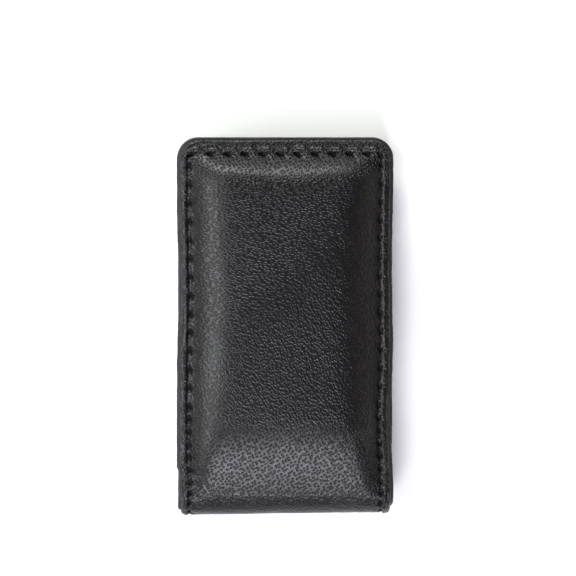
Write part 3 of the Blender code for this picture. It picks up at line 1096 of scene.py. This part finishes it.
def bend_with(piece, third, inner_radius):
    """Works out the hinge in the middle of a piece's third of the fold, and bakes the piece where it lies.
    """
    turn = (third + 0.5) * BEND
    hinge = Vector((0, BEND_Y - OUTSIDE * math.sin(turn), MIDDLE_Z + OUTSIDE * math.cos(turn)))
    way = Vector((0, -math.cos(turn), -math.sin(turn)))
    reach = inner_radius * math.sin(BEND / 2)
    (hinge - way * reach) * MM
    (hinge + way * reach) * MM
    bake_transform(piece)


for leaf, outer, inner, seam, bobbin in (
    ("front", front_cover, front_lining, front_seam, front_bobbin),
    ("rear", rear_cover, rear_lining, rear_seam, rear_bobbin),
):
    for piece, slot, node_name in (
        (outer, "outer_leather", f"{leaf}_outer_leather"),
        (inner, "lining_leather", f"{leaf}_lining_leather"),
        (seam, "thread", f"{leaf}_seam_thread"),
        (bobbin, "thread", f"{leaf}_bobbin_thread"),
    ):
        finish_as(piece, slot)
        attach(piece, f"{leaf}_leaf")
        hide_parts(node_name)

for third in range(len(THIRDS)):
    for piece, slot, radius in (
        (fold_covers[third], "outer_leather", COVER_BEND_RADIUS),
        (fold_linings[third], "lining_leather", LINING_BEND_RADIUS),
        (fold_seams[third], "thread", COVER_BEND_RADIUS),
        (fold_bobbins[third], "thread", LINING_BEND_RADIUS),
    ):
        finish_as(piece, slot)
        bend_with(piece, third, radius)

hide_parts("fold_outer_leather_2")
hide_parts("fold_outer_leather_1")
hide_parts("fold_lining_leather_2")
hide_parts("fold_lining_leather_1")

KEPT = {
    "foam_pad": "foam",
    "stiffener_board": "fibre_board",
    "magnet_left": "magnet",
    "magnet_right": "magnet",
}
for leaf in ("front", "rear"):
    for part, slot in KEPT.items():
        for material_slot in frame["nodes"][f"{leaf}_{part}"].material_slots:
            material_slot.material = FINISHES[slot]

# %% [markdown]
# ## Floor, light and camera
#
# Black leather shows its shape only in what it reflects, so the lights are placed by slope: a surface that
# leans by some angle mirrors what is twice that angle from straight up. A broad light in front brightens
# the long slope by the fold, one on the left and a low one at the free end catch those shoulders, and the
# right gets only a weak, warm one. The camera looks straight down through a long lens.


# %% Studio
FLOOR_HALF = 3.0
FLOOR_DROP = -0.0002  # just under the clip


def soft_light(name, spot, width, height, power, colour):
    """A soft box that points at the clip."""
    light = bpy.data.lights.new(name, "AREA")
    light.shape = "RECTANGLE"
    light.size = width
    light.size_y = height
    light.energy = power
    light.color = colour
    lamp = bpy.data.objects.new(name, light)
    lamp.location = spot
    lamp.rotation_euler = (Vector((0, 0, 0.01)) - Vector(spot)).to_track_quat("-Z", "Y").to_euler()
    bpy.context.scene.collection.objects.link(lamp)


def studio_floor():
    """A pale floor under the clip, which belongs to the studio."""
    bm = bmesh.new()
    bmesh.ops.create_grid(bm, x_segments=1, y_segments=1, size=FLOOR_HALF)
    bmesh.ops.translate(bm, verts=bm.verts, vec=(0, 0, FLOOR_DROP))
    mesh = bpy.data.meshes.new("floor")
    bm.to_mesh(mesh)
    bm.free()
    floor = bpy.data.objects.new("floor", mesh)
    bpy.context.scene.collection.objects.link(floor)
    finish = new_finish("floor_finish", {"Base Color": (0.92, 0.92, 0.92, 1), "Roughness": 0.9})[0]
    mesh.materials.append(finish)


scene = bpy.context.scene
studio_floor()
soft_light("front_light", (-0.08, -0.575, 0.775), 0.50, 0.27, 10.6, (0.93, 0.91, 1.0))
soft_light("left_light", (-0.68, 0.04, 0.59), 0.62, 0.40, 7.0, (0.97, 0.99, 1.0))
soft_light("free_end_light", (-0.18, 0.79, 0.38), 0.60, 0.20, 8.8, (0.98, 1.0, 0.96))
soft_light("right_light", (0.85, 0.0, 0.40), 0.30, 0.30, 0.5, (1.0, 0.87, 0.68))

world = bpy.data.worlds.new("studio")
world.use_nodes = True
background = world.node_tree.nodes["Background"]
background.inputs["Color"].default_value = (1, 1, 1, 1)
background.inputs["Strength"].default_value = 0.07
scene.world = world
scene.view_settings.view_transform = "Standard"

# %% Camera
LENS = 150.0
SENSOR = 36.0
VIEW_WIDTH = 0.1059  # what the view takes in across, at the sewn margin's height
VIEW_MIDDLE = (0.00055, 0.0070)
camera_data = bpy.data.cameras.new("camera")
camera_data.lens = LENS
camera_data.sensor_width = SENSOR
camera = bpy.data.objects.new("camera", camera_data)
camera.location = (*VIEW_MIDDLE, (MIDDLE_Z + OUTSIDE) * MM + VIEW_WIDTH * LENS / SENSOR)
scene.collection.objects.link(camera)
scene.camera = camera
